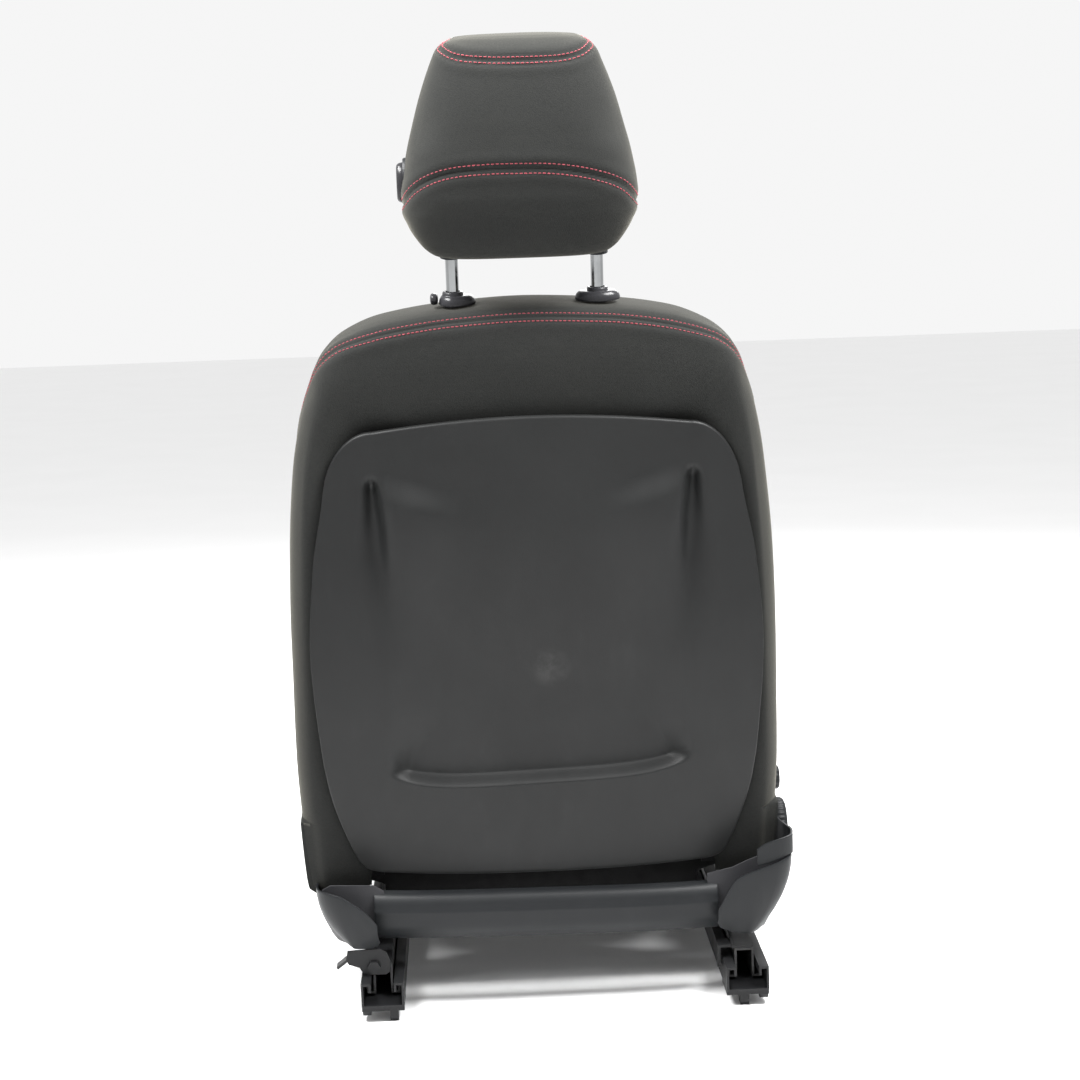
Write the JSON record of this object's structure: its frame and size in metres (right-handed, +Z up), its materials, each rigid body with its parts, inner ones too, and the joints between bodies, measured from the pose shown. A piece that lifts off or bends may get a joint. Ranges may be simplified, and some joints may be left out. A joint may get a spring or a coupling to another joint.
{
  "type": "car seat",
  "caption": "Front car seat with a sport trim: floor rails, height linkage, reclining backrest with a moulded rear panel, and a tilting headrest on chromed posts.",
  "frame": {"origin": "on the floor, under the middle of the seat's box at rest", "axes": "+Z up; the occupant faces -Y, so the rear panel faces +Y; +X is the occupant's left"},
  "size_m": [0.5576, 0.7298, 1.0781],
  "materials": {
    "seat_fabric": "woven charcoal cloth with contrast stitching",
    "trim_plastic": "fine-grained",
    "panel_plastic": "satin, fine-grained",
    "black_steel": "e-coated black",
    "zinc_steel": "zinc plated",
    "chrome": "polished",
    "core_plastic": "plain moulded"
  },
  "bodies": {
    "floor_rails": {"lower_rail_left": "black_steel", "lower_rail_right": "black_steel", "front_foot_left": "black_steel", "front_foot_right": "black_steel", "rear_hook_left": "black_steel", "rear_hook_right": "black_steel"},
    "carriage": {"upper_rail_left": "zinc_steel", "upper_rail_right": "zinc_steel", "rail_bracket_left": "black_steel", "rail_bracket_right": "black_steel", "harness_bracket": "zinc_steel", "buckle_anchor": "black_steel"},
    "track_release": {"track_release_bar": "black_steel", "track_latch_left": "zinc_steel", "track_latch_right": "zinc_steel"},
    "rear_links": {"rear_link_left": "black_steel", "rear_link_right": "black_steel", "rear_torque_tube": "black_steel"},
    "front_links": {"front_link_left": "black_steel", "front_link_right": "black_steel", "front_cross_tube": "black_steel"},
    "seat_frame": {"cushion_side_left": "black_steel", "cushion_side_right": "black_steel", "seat_pan": "black_steel", "rear_cross_tube": "black_steel", "cushion_suspension": "zinc_steel", "cushion_foam_centre": "seat_fabric", "cushion_bolster_left": "seat_fabric", "cushion_bolster_right": "seat_fabric", "cushion_rear_flap": "seat_fabric", "outer_side_shield": "trim_plastic", "inner_side_shield": "trim_plastic", "recliner_cover": "trim_plastic", "rear_apron": "trim_plastic", "recliner_disc_left": "zinc_steel", "recliner_disc_right": "zinc_steel"},
    "height_handle": {"height_lever": "trim_plastic"},
    "recliner_drive": {"recliner_shaft": "zinc_steel", "recliner_handwheel": "trim_plastic"},
    "backrest": {"back_side_left": "black_steel", "back_side_right": "black_steel", "back_top_frame": "black_steel", "back_lower_crossmember": "black_steel", "back_wire_mat": "zinc_steel", "back_foam_centre": "seat_fabric", "back_bolster_left": "seat_fabric", "back_bolster_right": "seat_fabric", "back_foam_top": "seat_fabric", "rear_panel": "panel_plastic", "guide_sleeve_left": "trim_plastic", "guide_sleeve_right": "trim_plastic"},
    "lumbar_support": {"lumbar_pad": "core_plastic"},
    "lumbar_control": {"lumbar_knob": "trim_plastic"},
    "height_lock": {"guide_button": "trim_plastic"},
    "headrest_posts": {"headrest_rod": "chrome"},
    "headrest": {"headrest_foam": "seat_fabric", "headrest_carrier": "core_plastic", "post_bezel_left": "trim_plastic", "post_bezel_right": "trim_plastic"},
    "tilt_button": {"headrest_button": "trim_plastic"}
  },
  "joints": [
    {"name": "seat_slide", "type": "slide", "parent": "floor_rails", "child": "carriage", "axis": [0, 1, 0], "range_m": [-0.165, 0.03]},
    {"name": "track_release", "type": "hinge", "parent": "carriage", "child": "track_release", "pos_m": [0.0068, -0.0186, 0.032], "axis": [-1, 0, 0], "range_deg": [0, 2.5], "stiffness_Nm_per_rad": 6, "springref_deg": -5.73},
    {"name": "rear_link_turn", "type": "hinge", "parent": "carriage", "child": "rear_links", "pos_m": [0.0068, 0.1214, 0.074], "axis": [1, 0, 0], "range_deg": [0, 34]},
    {"name": "front_link_turn", "type": "hinge", "parent": "carriage", "child": "front_links", "pos_m": [0.0068, -0.1536, 0.074], "axis": [1, 0, 0], "range_deg": [0, 34]},
    {"name": "cushion_frame_turn", "type": "hinge", "parent": "rear_links", "child": "seat_frame", "pos_m": [0.0068, 0.18718, 0.09794], "axis": [1, 0, 0], "range_deg": [-34, 0]},
    {"name": "height_lever_turn", "type": "hinge", "parent": "seat_frame", "child": "height_handle", "pos_m": [0.0068, -0.0286, 0.126], "axis": [1, 0, 0], "range_deg": [-20, 20], "stiffness_Nm_per_rad": 2},
    {"name": "recline", "type": "hinge", "parent": "seat_frame", "child": "backrest", "pos_m": [0.0068, 0.1714, 0.179], "axis": [-1, 0, 0], "range_deg": [-10, 36]},
    {"name": "handwheel_turn", "type": "hinge", "parent": "seat_frame", "child": "recliner_drive", "pos_m": [0.0068, 0.1714, 0.179], "axis": [-1, 0, 0], "range_deg": [-300, 1080]},
    {"name": "lumbar_bow", "type": "slide", "parent": "backrest", "child": "lumbar_support", "axis": [0, -0.9877, 0.1564], "range_m": [0, 0.01]},
    {"name": "lumbar_knob_turn", "type": "hinge", "parent": "backrest", "child": "lumbar_control", "pos_m": [0.0068, 0.13025, 0.22602], "axis": [-1, 0, 0], "range_deg": [0, 90]},
    {"name": "height_lock_press", "type": "slide", "parent": "backrest", "child": "height_lock", "axis": [-1, 0, 0], "range_m": [0, 0.0022], "stiffness_N_per_m": 300, "springref_m": -0.003},
    {"name": "headrest_height", "type": "slide", "parent": "backrest", "child": "headrest_posts", "axis": [0, 0.1564, 0.9877], "range_m": [-0.032, 0.04]},
    {"name": "headrest_tilt", "type": "hinge", "parent": "headrest_posts", "child": "headrest", "pos_m": [0.0068, 0.2908, 0.90729], "axis": [1, 0, 0], "range_deg": [0, 14]},
    {"name": "tilt_button_press", "type": "slide", "parent": "headrest", "child": "tilt_button", "axis": [-1, 0, 0], "range_m": [0, 0.004], "stiffness_N_per_m": 400, "springref_m": -0.003}
  ],
  "couplings": [
    {"joint": "front_link_turn", "follows": "rear_link_turn", "ratio": 1},
    {"joint": "cushion_frame_turn", "follows": "rear_link_turn", "ratio": -1},
    {"joint": "handwheel_turn", "follows": "recline", "ratio": 30},
    {"joint": "lumbar_knob_turn", "follows": "lumbar_bow", "rad_per_m": 157.08}
  ]
}
